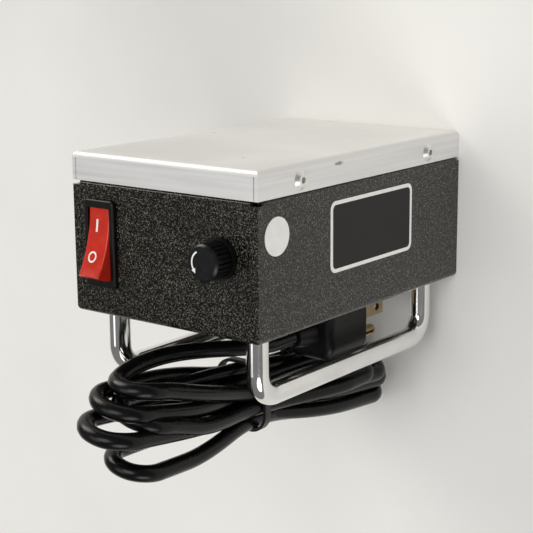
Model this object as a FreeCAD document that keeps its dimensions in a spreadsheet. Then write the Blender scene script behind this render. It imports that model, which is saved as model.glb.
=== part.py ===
import FreeCAD, Part
import math
import os
import Sketcher

# A mains-powered bulk tape eraser: a steel box with a riveted aluminium pole cover, two tube
# handles, a rocker switch, a fuse holder, and an E-core coil inside.
# It stands on its rear end. +Z runs up the length to the switch panel, +Y out of the side that
# carries the handles, and -Y out of the aluminium cover. The origin is on the floor, midway
# across the box and midway between the cover and the outside of the handles.

DOC = FreeCAD.newDocument("bulk_tape_eraser")
SHEET = DOC.addObject("Spreadsheet::Sheet", "sizes")
PARTS = []
X_AXIS = FreeCAD.Vector(1, 0, 0)
Y_AXIS = FreeCAD.Vector(0, 1, 0)
Z_AXIS = FreeCAD.Vector(0, 0, 1)


class Size:
    """A size that keeps both its value and the formula that ties it to the sheet."""

    def __init__(self, text, value):
        self.text = text
        self.value = value

    def __add__(self, other):
        return Size(f"({self.text} + {formula(other)})", self.value + number(other))

    def __radd__(self, other):
        return Size(f"({formula(other)} + {self.text})", number(other) + self.value)

    def __sub__(self, other):
        return Size(f"({self.text} - {formula(other)})", self.value - number(other))

    def __rsub__(self, other):
        return Size(f"({formula(other)} - {self.text})", number(other) - self.value)

    def __mul__(self, other):
        return Size(f"({self.text} * {formula(other)})", self.value * number(other))

    def __rmul__(self, other):
        return Size(f"({formula(other)} * {self.text})", number(other) * self.value)

    def __truediv__(self, other):
        return Size(f"({self.text} / {formula(other)})", self.value / number(other))

    def __neg__(self):
        return Size(f"(0 - {self.text})", -self.value)


def other_leg(hypotenuse, leg):
    """The third side of a right-angled triangle."""
    value = math.sqrt(number(hypotenuse) ** 2 - number(leg) ** 2)
    return Size(f"sqrt(({formula(hypotenuse)}) ^ 2 - ({formula(leg)}) ^ 2)", value)


def formula(value):
    return value.text if isinstance(value, Size) else repr(float(value))


def number(value):
    return value.value if isinstance(value, Size) else float(value)


def size(alias, value):
    """Writes one driving dimension into the next row of the sheet."""
    row = len(SHEET.getUsedCells()) // 2 + 1
    SHEET.set(f"A{row}", alias)
    SHEET.set(f"B{row}", str(value))
    SHEET.setAlias(f"B{row}", alias)
    return Size(f"sizes.{alias}", float(value))


# Steel tray
case_width = size("case_width", 85)
case_length = size("case_length", 129.2)
floor_y = size("floor_y", 15.95)
tray_depth = size("tray_depth", 48.6)
tray_sheet = size("tray_sheet", 1.2)
tray_bend = size("tray_bend", 2)
rim_bend = size("rim_bend", 1.4)
rim_step = size("rim_step", 1.6)
rim_upstand = size("rim_upstand", 7.6)
corner_relief = size("corner_relief", 3.4)

# Aluminium pole cover
lip_gap = size("lip_gap", 0.2)
cover_depth = size("cover_depth", 10.2)
cover_sheet = size("cover_sheet", 1.5)
cover_bend = size("cover_bend", 2)
cover_slit = size("cover_slit", 0.3)
rivet_rise = size("rivet_rise", 4.3)
rivet_pitch = size("rivet_pitch", 82)
rivet_head = size("rivet_head", 7)
rivet_shank = size("rivet_shank", 4)

# Handles
handle_rod = size("handle_rod", 8)
handle_gauge = size("handle_gauge", 65.2)
handle_span = size("handle_span", 106.1)
handle_reach = size("handle_reach", 23.1)
handle_bend = size("handle_bend", 9)
screw_thread = size("screw_thread", 5)
screw_socket = size("screw_socket", 12)

# Laminated core and its brackets
core_length = size("core_length", 92)
core_height = size("core_height", 42)
core_stack = size("core_stack", 38)
core_centre = size("core_centre", 52.6)
core_gap = size("core_gap", 0.5)
yoke_depth = size("yoke_depth", 16)
centre_leg = size("centre_leg", 30)
outer_leg = size("outer_leg", 15)
bolt_thread = size("bolt_thread", 4)
bracket_sheet = size("bracket_sheet", 1.5)
bracket_foot = size("bracket_foot", 13)
bracket_length = size("bracket_length", 84)

# Coil
bobbin_wall = size("bobbin_wall", 1.2)
bobbin_fit = size("bobbin_fit", 0.3)
winding_depth = size("winding_depth", 12.4)
tape_wrap = size("tape_wrap", 0.4)

# Rocker switch
switch_x = size("switch_x", 28.6)
switch_y = size("switch_y", -10.75)
bezel_width = size("bezel_width", 14.6)
bezel_length = size("bezel_length", 32)
bezel_rise = size("bezel_rise", 1.8)
rocker_width = size("rocker_width", 10)
rocker_radius = size("rocker_radius", 13)
rocker_gap = size("rocker_gap", 0.2)
rocker_end_rise = size("rocker_end_rise", 3.9)
rocker_dip = size("rocker_dip", 1.7)
rocker_tilt = size("rocker_tilt", 16)
rocker_pivot_rise = size("rocker_pivot_rise", 0.8)
rocker_pin = size("rocker_pin", 1.2)
plunger_reach = size("plunger_reach", 9.3)
plunger_width = size("plunger_width", 3)
switch_body = size("switch_body", 17)
lever_drop = size("lever_drop", 9.4)
lever_tilt = size("lever_tilt", 5)
lever_half = size("lever_half", 10)
lever_sheet = size("lever_sheet", 0.8)
blade_width = size("blade_width", 6.3)
blade_reach = size("blade_reach", 8)

# Fuse holder
fuse_x = size("fuse_x", -26.5)
fuse_y = size("fuse_y", -12.25)
fuse_flange = size("fuse_flange", 14.6)
fuse_flange_rise = size("fuse_flange_rise", 2)
fuse_barrel = size("fuse_barrel", 12)
fuse_depth = size("fuse_depth", 24)
fuse_bore = size("fuse_bore", 9)
fuse_cap_width = size("fuse_cap_width", 12.9)
fuse_cap_top = size("fuse_cap_top", 10)
fuse_stem = size("fuse_stem", 8.84)
fuse_stem_drop = size("fuse_stem_drop", 7.2)
fuse_length = size("fuse_length", 20)
fuse_end = size("fuse_end", 5.2)
knurl_ribs = size("knurl_ribs", 24)

# Cord, its strain relief, its hank and its plug
cord_width = size("cord_width", 6.2)
relief_x = size("relief_x", 13)
relief_z = size("relief_z", 40.6)
relief_reach = size("relief_reach", 19)
relief_foot = size("relief_foot", 14)
tie_z = size("tie_z", 86.6)
tie_width = size("tie_width", 3.2)
plug_x = size("plug_x", -12)
plug_y = size("plug_y", 30.75)
plug_front = size("plug_front", 36)
plug_length = size("plug_length", 24)
plug_width = size("plug_width", 22)
plug_height = size("plug_height", 22.5)
nose_length = size("nose_length", 10)
prong_row = size("prong_row", 3.25)
prong_pitch = size("prong_pitch", 12.7)
prong_length = size("prong_length", 17.9)
earth_offset = size("earth_offset", 11.9)
earth_length = size("earth_length", 21.4)
earth_width = size("earth_width", 4.8)

DOC.recompute()

rim_y = floor_y - tray_depth
cover_edge_y = rim_y - lip_gap
cover_y = cover_edge_y - cover_depth
rivet_y = cover_edge_y - rivet_rise
middle_z = case_length / 2
inner_floor_y = floor_y - tray_sheet
pole_y = cover_y + cover_sheet + core_gap
yoke_y = pole_y + core_height
panel_z = case_length
pivot_z = panel_z + rocker_pivot_rise


def bind(thing, name, value):
    """Ties a property to the sheet, or sets it if the value is a bare number."""
    if isinstance(value, Size):
        thing.setExpression(name, value.text)
    elif "." in name:
        thing.setExpression(name, repr(float(value)))
    else:
        setattr(thing, name, value)


def place(thing, x, y, z):
    bind(thing, "Placement.Base.x", x)
    bind(thing, "Placement.Base.y", y)
    bind(thing, "Placement.Base.z", z)


def keep(thing, node):
    """Lists a finished sub-part under the name that its file gets."""
    DOC.recompute()
    thing.Label = node
    PARTS.append(thing)
    return thing


def new_body(name):
    return DOC.addObject("PartDesign::Body", name)


def sketch(body, name, plane, offset=0.0):
    """An empty sketch on one of the body's own origin planes, moved along the plane's normal."""
    made = body.newObject("Sketcher::SketchObject", name)
    planes = [p for p in body.Origin.OriginFeatures if p.Role == plane]
    made.AttachmentSupport = (planes[0], [""])
    made.MapMode = "FlatFace"
    bind(made, "AttachmentOffset.Base.z", offset)
    return made


def pin_point(made, line, end, x, y):
    """Holds one end of a sketch line at a place that follows the sheet."""
    across = made.addConstraint(Sketcher.Constraint("DistanceX", -1, 1, line, end, number(x)))
    made.setExpression(f"Constraints[{across}]", formula(x))
    along = made.addConstraint(Sketcher.Constraint("DistanceY", -1, 1, line, end, number(y)))
    made.setExpression(f"Constraints[{along}]", formula(y))


def arc_between(start, end, centre, turn):
    """The arc from start to end round centre; turn is 1 anticlockwise and -1 clockwise."""
    first = math.atan2(start[1] - centre[1], start[0] - centre[0])
    last = math.atan2(end[1] - centre[1], end[0] - centre[0])
    if turn < 0:
        first, last = last, first
    if last <= first:
        last += 2 * math.pi
    radius = math.hypot(start[0] - centre[0], start[1] - centre[1])
    circle = Part.Circle(FreeCAD.Vector(centre[0], centre[1], 0), Z_AXIS, radius)
    return Part.ArcOfCircle(circle, first, last)


def outline(made, corners, closed=True):
    """Draws lines through the corners. A corner is (x, y), or, where an arc arrives at it,
    (x, y, arc centre x, arc centre y, turn, radius)."""
    count = len(corners)
    first = made.GeometryCount
    ends = []
    for index in range(count if closed else count - 1):
        here = corners[index]
        there = corners[(index + 1) % count]
        start = (number(here[0]), number(here[1]))
        end = (number(there[0]), number(there[1]))
        if len(there) == 2:
            line = Part.LineSegment(FreeCAD.Vector(*start, 0), FreeCAD.Vector(*end, 0))
            made.addGeometry(line)
            ends.append((1, 2))
        else:
            centre = (number(there[2]), number(there[3]))
            made.addGeometry(arc_between(start, end, centre, there[4]))
            ends.append((1, 2) if there[4] > 0 else (2, 1))
    for index, (begin, finish) in enumerate(ends):
        edge = first + index
        pin_point(made, edge, begin, corners[index][0], corners[index][1])
        if index + 1 < len(ends):
            follow = Sketcher.Constraint("Coincident", edge, finish, edge + 1, ends[index + 1][0])
            made.addConstraint(follow)
        elif closed:
            follow = Sketcher.Constraint("Coincident", edge, finish, first, ends[0][0])
            made.addConstraint(follow)
        else:
            pin_point(made, edge, finish, corners[-1][0], corners[-1][1])
        there = corners[(index + 1) % count]
        if len(there) > 2:
            arc = made.addConstraint(Sketcher.Constraint("Radius", edge, number(there[5])))
            made.setExpression(f"Constraints[{arc}]", formula(there[5]))


def rectangle(made, low_x, low_y, high_x, high_y):
    outline(made, [(low_x, low_y), (high_x, low_y), (high_x, high_y), (low_x, high_y)])


def rounded_rectangle(made, low_x, low_y, high_x, high_y, radius):
    """A rectangle with quarter-round corners."""
    left = low_x + radius
    right = high_x - radius
    bottom = low_y + radius
    top = high_y - radius
    outline(
        made,
        [
            (left, low_y, left, bottom, 1, radius),
            (right, low_y),
            (high_x, bottom, right, bottom, 1, radius),
            (high_x, top),
            (right, high_y, right, top, 1, radius),
            (left, high_y),
            (low_x, top, left, top, 1, radius),
            (low_x, bottom),
        ],
    )


def circle(made, x, y, radius):
    centre = FreeCAD.Vector(number(x), number(y), 0)
    ring = made.addGeometry(Part.Circle(centre, Z_AXIS, number(radius)))
    pin_point(made, ring, 3, x, y)
    held = made.addConstraint(Sketcher.Constraint("Radius", ring, number(radius)))
    made.setExpression(f"Constraints[{held}]", formula(radius))


def pad(body, name, profile, length, reverse=False):
    made = body.newObject("PartDesign::Pad", name)
    made.Profile = profile
    made.Reversed = reverse
    bind(made, "Length", length)
    DOC.recompute()
    return made


def pocket(body, name, profile, length, reverse=False):
    """Cuts a sketch into the body, and stops the build if it takes nothing away."""
    before = body.Shape.Volume
    made = body.newObject("PartDesign::Pocket", name)
    made.Profile = profile
    made.Reversed = reverse
    bind(made, "Length", length)
    DOC.recompute()
    if body.Shape.Volume >= before - 1e-6:
        raise ValueError(f"{name} cuts nothing")
    return made


def edges_where(shape, test):
    """Names of the edges whose middle passes the test."""
    found = []
    for index, edge in enumerate(shape.Edges):
        middle = edge.valueAt((edge.FirstParameter + edge.LastParameter) / 2)
        if test(middle, edge):
            found.append(f"Edge{index + 1}")
    return found


def faces_at_y(shape, y):
    """Names of the flat faces that lie at one height along Y."""
    flat = [face for face in shape.Faces if face.BoundBox.YLength < 1e-6]
    chosen = [face for face in flat if abs(face.CenterOfMass.y - y) < 1e-6]
    names = []
    for index, face in enumerate(shape.Faces):
        if any(face.isSame(other) for other in chosen):
            names.append(f"Face{index + 1}")
    return names


def near(value, target):
    return abs(value - target) < 1e-4


def soften(body, name, base, edges, radius, kind="PartDesign::Fillet"):
    """Rounds or bevels the named edges of the body's last feature."""
    made = body.newObject(kind, name)
    made.Base = (base, edges)
    bind(made, "Radius" if kind.endswith("Fillet") else "Size", radius)
    DOC.recompute()
    return made


def hollow(body, name, base, open_face_y, wall):
    """Turns a block into a folded sheet with one open side."""
    made = body.newObject("PartDesign::Thickness", name)
    made.Base = (base, faces_at_y(base.Shape, open_face_y))
    made.Reversed = True
    bind(made, "Value", wall)
    DOC.recompute()
    return made


def round_solid(name, foot, axis, start, length, low_radius, high_radius=None):
    """A cylinder, or a cone where it ends on another radius, along an axis from its foot."""
    if high_radius is None:
        made = DOC.addObject("Part::Cylinder", name)
        bind(made, "Radius", low_radius)
    else:
        made = DOC.addObject("Part::Cone", name)
        bind(made, "Radius1", low_radius)
        bind(made, "Radius2", high_radius)
    bind(made, "Height", length)
    made.Placement = FreeCAD.Placement(FreeCAD.Vector(), FreeCAD.Rotation(Z_AXIS, axis))
    place(made, *[at + start * step for at, step in zip(foot, axis)])
    return made


def hexagon(name, foot, axis, start, length, across_flats):
    made = DOC.addObject("Part::Prism", name)
    made.Polygon = 6
    bind(made, "Circumradius", across_flats / math.sqrt(3))
    bind(made, "Height", length)
    made.Placement = FreeCAD.Placement(FreeCAD.Vector(), FreeCAD.Rotation(Z_AXIS, axis))
    place(made, *[at + start * step for at, step in zip(foot, axis)])
    return made


def block(name, low, high):
    made = DOC.addObject("Part::Box", name)
    bind(made, "Length", high[0] - low[0])
    bind(made, "Width", high[1] - low[1])
    bind(made, "Height", high[2] - low[2])
    place(made, *low)
    return made


def fuse(name, shapes):
    made = DOC.addObject("Part::MultiFuse", name)
    made.Shapes = shapes
    return made


def cut(name, base, tool):
    made = DOC.addObject("Part::Cut", name)
    made.Base = base
    made.Tool = tool
    return made


def group(name, shapes):
    """Like fasteners that share one node stay separate solids."""
    made = DOC.addObject("Part::Compound", name)
    made.Links = shapes
    return made


def handle_feet():
    """The four places where a handle leg meets the tray: (side, x, z)."""
    half_gauge = handle_gauge / 2
    half_span = handle_span / 2
    places = []
    for side in (-1, 1):
        for end in (-1, 1):
            places.append((side, half_gauge * side, middle_z + half_span * end))
    return places


def bracket_screw_places():
    """The four screws that hold the core's brackets to the tray floor."""
    reach = core_stack / 2 + bracket_sheet + bracket_foot / 2 + 0.6
    half_pitch = bracket_length / 4
    return [
        (reach * side, core_centre + half_pitch * end)
        for side in (-1, 1)
        for end in (-1, 1)
    ]


def make_tray():
    """Folded steel tray. Its rim steps in by one cover thickness and stands up inside the lips."""
    body = new_body("tray_body")
    half = case_width / 2
    profile = sketch(body, "tray_profile", "XZ_Plane", -floor_y)
    rectangle(profile, -half, 0.0, half, case_length)
    solid = pad(body, "tray_solid", profile, tray_depth)
    floor_edges = edges_where(solid.Shape, lambda p, e: near(p.y, number(floor_y)))
    solid = soften(body, "tray_floor_bend", solid, floor_edges, tray_bend)
    hollow(body, "tray_walls", solid, number(rim_y), tray_sheet)

    step = sketch(body, "rim_step_profile", "XZ_Plane", -(rim_y + tray_sheet))
    inset = tray_sheet / 2
    rectangle(step, inset - half, inset, half - inset, case_length - inset)
    inset = rim_step + tray_sheet
    rectangle(step, inset - half, inset, half - inset, case_length - inset)
    solid = pad(body, "rim_ledge", step, tray_sheet)

    stand = sketch(body, "rim_stand_profile", "XZ_Plane", -(rim_y + tray_sheet / 2))
    inset = rim_step * 1.0
    rectangle(stand, inset - half, inset, half - inset, case_length - inset)
    inset = rim_step + tray_sheet
    rectangle(stand, inset - half, inset, half - inset, case_length - inset)
    solid = pad(body, "rim_stand", stand, rim_upstand + tray_sheet / 2)

    def outer_rim(p, e):
        across = near(abs(p.x), number(half))
        along = near(p.z, 0) or near(p.z, number(case_length))
        return near(p.y, number(rim_y)) and (across or along)

    solid = soften(body, "rim_fold", solid, edges_where(solid.Shape, outer_rim), rim_bend)

    relief = sketch(body, "relief_profile", "XZ_Plane", -(rim_y - rim_upstand))
    for side in (-1, 1):
        for low in (-1.0, case_length - corner_relief):
            inner = (half - corner_relief) * side
            outer = (half + 1) * side
            high = low + corner_relief + 1
            rectangle(relief, inner, low, outer, high)
    pocket(body, "corner_reliefs", relief, rim_upstand + rim_bend)

    front = sketch(body, "front_hole_profile", "XY_Plane", case_length)
    fit = 0.2
    hole_x = (bezel_width - 1.9) / 2 + fit
    hole_y = (bezel_length - 2.4) / 2 + fit
    rectangle(front, switch_x - hole_x, switch_y - hole_y, switch_x + hole_x, switch_y + hole_y)
    circle(front, fuse_x, fuse_y, fuse_barrel / 2 + fit / 2)
    pocket(body, "front_holes", front, tray_sheet * 2)

    floor = sketch(body, "floor_hole_profile", "XZ_Plane", -floor_y)
    for _, x, z in handle_feet():
        circle(floor, x, z, (screw_thread + 0.5) / 2)
    for x, z in bracket_screw_places():
        circle(floor, x, z, (bolt_thread + 0.4) / 2)
    circle(floor, relief_x, relief_z, relief_foot * 0.36 + 0.1)
    pocket(body, "floor_holes", floor, tray_sheet * 2, reverse=True)

    rivets = sketch(body, "rivet_hole_profile", "YZ_Plane", half)
    for end in (-1, 1):
        circle(rivets, rivet_y, middle_z + rivet_pitch / 2 * end, rivet_shank / 2 + 0.05)
    pocket(body, "rivet_holes", rivets, case_width)
    return keep(body, "tray")


def make_pole_cover():
    """Aluminium cover over the poles. Its long lips run past the short ones at the corners."""
    body = new_body("cover_body")
    half = case_width / 2
    profile = sketch(body, "cover_profile", "XZ_Plane", -cover_edge_y)
    rectangle(profile, -half, 0.0, half, case_length)
    solid = pad(body, "cover_solid", profile, cover_depth)
    top_edges = edges_where(solid.Shape, lambda p, e: near(p.y, number(cover_y)))
    solid = soften(body, "cover_fold", solid, top_edges, cover_bend)
    hollow(body, "cover_sheet_metal", solid, number(cover_edge_y), cover_sheet)

    slits = sketch(body, "slit_profile", "XZ_Plane", -cover_edge_y)
    for side in (-1, 1):
        for low in (-1.0, case_length - cover_sheet):
            outer = (half - cover_sheet) * side
            inner = (half - cover_sheet - cover_slit) * side
            rectangle(slits, inner, low, outer, low + cover_sheet + 1)
    pocket(body, "corner_slits", slits, cover_depth - cover_bend, reverse=True)

    rivets = sketch(body, "cover_rivet_profile", "YZ_Plane", half)
    for end in (-1, 1):
        circle(rivets, rivet_y, middle_z + rivet_pitch / 2 * end, rivet_shank / 2 + 0.05)
    pocket(body, "cover_rivet_holes", rivets, case_width)
    return keep(body, "pole_cover")


def make_rivets():
    """Blind rivets through the cover's lips and the rim: low dome, shank, and set tail."""
    rivets = []
    head = rivet_head / 2
    shank = rivet_shank / 2
    grip = rim_step + tray_sheet
    for side in (-1, 1):
        for end in (-1, 1):
            name = f"rivet_{side}_{end}".replace("-", "m")
            foot = (case_width / 2 * side, rivet_y, middle_z + rivet_pitch / 2 * end)
            out = FreeCAD.Vector(side, 0, 0)
            dome = round_solid(name + "_dome", foot, out, 0.0, 1.2, head, head * 0.62)
            stem = round_solid(name + "_stem", foot, out * -1, -0.4, grip + 2.2, shank)
            tail = round_solid(name + "_tail", foot, out * -1, grip + 0.05, 1.8, shank * 1.3)
            hole = round_solid(name + "_hole", foot, out, -1.0, 3.0, shank * 0.55)
            rivets.append(cut(name, fuse(name + "_whole", [dome, stem, tail]), hole))
    return keep(group("rivet_group", rivets), "cover_rivets")


def make_handle(side, node):
    """Chromed round bar bent into a U, with a tapped socket in the end of each leg."""
    body = new_body(node + "_body")
    x = handle_gauge / 2 * side
    low = middle_z - handle_span / 2
    high = middle_z + handle_span / 2
    far = floor_y + handle_reach
    path = sketch(body, node + "_path", "YZ_Plane", x)
    outline(
        path,
        [
            (floor_y, low),
            (far - handle_bend, low),
            (far, low + handle_bend, far - handle_bend, low + handle_bend, 1, handle_bend),
            (far, high - handle_bend),
            (far - handle_bend, high, far - handle_bend, high - handle_bend, 1, handle_bend),
            (floor_y, high),
        ],
        closed=False,
    )
    section = sketch(body, node + "_section", "XZ_Plane", -floor_y)
    circle(section, x, low, handle_rod / 2)
    bar = body.newObject("PartDesign::AdditivePipe", node + "_bar")
    bar.Profile = section
    bar.Spine = (path, [f"Edge{n}" for n in range(1, 6)])
    DOC.recompute()
    sockets = sketch(body, node + "_sockets", "XZ_Plane", -floor_y)
    for z in (low, high):
        circle(sockets, x, z, (screw_thread - 0.8) / 2)
    pocket(body, node + "_threads", sockets, screw_socket)
    return keep(body, node)


def make_handle_screws():
    """Pan-head screws that come through the tray floor into the handle legs."""
    screws = []
    for index, (_, x, z) in enumerate(handle_feet()):
        name = f"handle_screw_{index}"
        foot = (x, inner_floor_y - 1.0, z)
        thread = (screw_thread - 0.9) / 2
        shank = round_solid(name + "_shank", foot, Y_AXIS, -0.5, screw_socket, thread)
        head = round_solid(name + "_head", foot, Y_AXIS * -1, 0.05, 3.4, screw_thread * 0.9)
        screws.append(fuse(name, [shank, head]))
    return keep(group("handle_screw_group", screws), "handle_screws")


def make_handle_washers():
    washers = []
    for index, (_, x, z) in enumerate(handle_feet()):
        name = f"handle_washer_{index}"
        foot = (x, inner_floor_y - 1.0, z)
        ring = round_solid(name + "_ring", foot, Y_AXIS, 0.0, 0.95, screw_thread)
        hole = round_solid(name + "_hole", foot, Y_AXIS, -1.0, 3.0, screw_thread * 0.53)
        washers.append(cut(name, ring, hole))
    return keep(group("handle_washer_group", washers), "handle_washers")


def bolt_heights():
    """Where along the length the two clamping bolts pass through the yoke."""
    reach = core_length / 2 - outer_leg / 2
    return [core_centre - reach, core_centre + reach]


def make_core():
    """Stack of E laminations. The three poles face the cover, and the yoke lies behind them."""
    body = new_body("core_body")
    profile = sketch(body, "core_profile", "YZ_Plane", core_stack / -2)
    low = core_centre - core_length / 2
    high = core_centre + core_length / 2
    inner = yoke_y - yoke_depth
    outline(
        profile,
        [
            (yoke_y, low),
            (yoke_y, high),
            (pole_y, high),
            (pole_y, high - outer_leg),
            (inner, high - outer_leg),
            (inner, core_centre + centre_leg / 2),
            (pole_y, core_centre + centre_leg / 2),
            (pole_y, core_centre - centre_leg / 2),
            (inner, core_centre - centre_leg / 2),
            (inner, low + outer_leg),
            (pole_y, low + outer_leg),
            (pole_y, low),
        ],
    )
    for z in bolt_heights():
        circle(profile, yoke_y - yoke_depth / 2, z, bolt_thread / 2 + 0.15)
    pad(body, "core_laminations", profile, core_stack)
    return keep(body, "core_stack")


def make_bracket(side, node):
    """Steel angle between one side of the yoke and the tray floor."""
    body = new_body(node + "_body")
    inner = (core_stack / 2 + 0.05) * side
    skin = (core_stack / 2 + 0.05 + bracket_sheet) * side
    toe = (core_stack / 2 + 0.05 + bracket_sheet + bracket_foot) * side
    heel = inner_floor_y - 0.05
    low = core_centre - bracket_length / 2
    high = core_centre + bracket_length / 2
    profile = sketch(body, node + "_profile", "XY_Plane", low)
    outline(
        profile,
        [
            (inner, heel),
            (toe, heel),
            (toe, heel - bracket_sheet),
            (skin, heel - bracket_sheet),
            (skin, yoke_y - yoke_depth + 3),
            (inner, yoke_y - yoke_depth + 3),
        ],
    )
    pad(body, node + "_angle", profile, high - low)
    gaps = sketch(body, node + "_gaps", "XZ_Plane", -heel)
    tab = bracket_foot / 1.6
    for start, end in (
        (low - 1, core_centre - bracket_length / 4 - tab),
        (core_centre - bracket_length / 4 + tab, core_centre + bracket_length / 4 - tab),
        (core_centre + bracket_length / 4 + tab, high + 1),
    ):
        rectangle(gaps, skin, start, toe + 1.0 * side, end)
    pocket(body, node + "_feet", gaps, bracket_sheet, reverse=True)
    holes = sketch(body, node + "_bolt_holes", "YZ_Plane", skin)
    for z in bolt_heights():
        circle(holes, yoke_y - yoke_depth / 2, z, bolt_thread / 2 + 0.15)
    pocket(body, node + "_bolt_cut", holes, bracket_sheet * 2, reverse=side < 0)
    holes = sketch(body, node + "_foot_holes", "XZ_Plane", -heel)
    for x, z in bracket_screw_places():
        if number(x) * side > 0:
            circle(holes, x, z, (bolt_thread + 0.4) / 2)
    pocket(body, node + "_foot_cut", holes, bracket_sheet * 2, reverse=True)
    window = sketch(body, node + "_window", "YZ_Plane", skin)
    gap = heel - bracket_sheet - yoke_y
    for end in (-1, 1):
        middle = core_centre + bracket_length / 4.4 * end
        rounded_rectangle(
            window, yoke_y + 2, middle - 12, yoke_y + gap - 1, middle + 12, bracket_sheet * 2
        )
    pocket(body, node + "_window_cut", window, bracket_sheet * 2, reverse=side < 0)
    return keep(body, node)


def make_core_bolts():
    """Two bolts that clamp the laminations between the brackets."""
    bolts = []
    thread = bolt_thread / 2
    for index, z in enumerate(bolt_heights()):
        name = f"core_bolt_{index}"
        foot = (core_stack / 2 + 0.1 + bracket_sheet, yoke_y - yoke_depth / 2, z)
        length = core_stack + bracket_sheet * 2 + 6
        shank = round_solid(name + "_shank", foot, X_AXIS * -1, -0.5, length, thread)
        head = hexagon(name + "_head", foot, X_AXIS, 0.0, 2.8, bolt_thread * 1.75)
        bolts.append(fuse(name, [shank, head]))
    return keep(group("core_bolt_group", bolts), "core_bolts")


def make_core_nuts():
    nuts = []
    for index, z in enumerate(bolt_heights()):
        name = f"core_nut_{index}"
        foot = (-(core_stack / 2 + 0.1 + bracket_sheet), yoke_y - yoke_depth / 2, z)
        body = hexagon(name + "_body", foot, X_AXIS * -1, 0.0, 3.2, bolt_thread * 1.75)
        bore = round_solid(name + "_bore", foot, X_AXIS * -1, -1.0, 6.0, bolt_thread / 2 + 0.03)
        nuts.append(cut(name, body, bore))
    return keep(group("core_nut_group", nuts), "core_nuts")


def make_foot_screws():
    """Pan-head screws from outside the tray floor into the brackets' feet."""
    screws = []
    for index, (x, z) in enumerate(bracket_screw_places()):
        name = f"foot_screw_{index}"
        foot = (x, floor_y, z)
        dome = round_solid(name + "_dome", foot, Y_AXIS, 0.0, 2.0, bolt_thread * 0.95, bolt_thread * 0.7)
        shank = round_solid(name + "_shank", foot, Y_AXIS * -1, -0.5, 8.5, bolt_thread / 2)
        screws.append(fuse(name, [dome, shank]))
    return keep(group("foot_screw_group", screws), "foot_screws")


def make_foot_nuts():
    nuts = []
    for index, (x, z) in enumerate(bracket_screw_places()):
        name = f"foot_nut_{index}"
        foot = (x, inner_floor_y - 0.1 - bracket_sheet, z)
        body = hexagon(name + "_body", foot, Y_AXIS * -1, 0.0, 3.2, bolt_thread * 1.75)
        bore = round_solid(name + "_bore", foot, Y_AXIS * -1, -1.0, 6.0, bolt_thread / 2 + 0.03)
        nuts.append(cut(name, body, bore))
    return keep(group("foot_nut_group", nuts), "foot_nuts")


def leg_box(name, grow, low_y, high_y):
    """A box round the core's centre leg, grown outwards on all four sides."""
    half_x = core_stack / 2 + grow
    half_z = centre_leg / 2 + grow
    low = (-half_x, low_y, core_centre - half_z)
    return block(name, low, (half_x, high_y, core_centre + half_z))


def make_bobbin():
    """Moulded former round the centre leg: a square tube with a flange at each end."""
    top = pole_y + 0.4
    foot = yoke_y - yoke_depth
    rim = winding_depth + bobbin_wall + bobbin_fit + 0.4
    tube = leg_box("bobbin_tube", bobbin_fit + bobbin_wall, top, foot)
    upper = leg_box("bobbin_upper", rim, top, top + bobbin_wall)
    lower = leg_box("bobbin_lower", rim, foot - bobbin_wall, foot)
    whole = fuse("bobbin_whole", [tube, upper, lower])
    way = leg_box("bobbin_way", bobbin_fit * 1.0, top - 1, foot + 1)
    return keep(cut("bobbin", whole, way), "coil_bobbin")


def winding_ring(name, inside, outside, radius):
    """A ring of wire or tape between the bobbin's flanges, with rounded corners."""
    body = new_body(name + "_body")
    low = pole_y + 0.4 + bobbin_wall
    high = yoke_y - yoke_depth - bobbin_wall
    profile = sketch(body, name + "_profile", "XZ_Plane", -high)
    for grow, corner in ((outside, radius), (inside, radius - outside + inside)):
        half_x = core_stack / 2 + grow
        half_z = centre_leg / 2 + grow
        low_z = core_centre - half_z
        high_z = core_centre + half_z
        rounded_rectangle(profile, -half_x, low_z, half_x, high_z, corner)
    pad(body, name + "_ring", profile, high - low)
    return body


def make_winding():
    start = bobbin_fit + bobbin_wall + 0.1
    ring = winding_ring("winding", start, start + winding_depth, winding_depth + 0.2)
    return keep(ring, "coil_winding")


def make_coil_tape():
    start = bobbin_fit + bobbin_wall + 0.15 + winding_depth
    ring = winding_ring("coil_tape", start, start + tape_wrap, winding_depth + 0.3 + tape_wrap)
    return keep(ring, "coil_tape")


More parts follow.
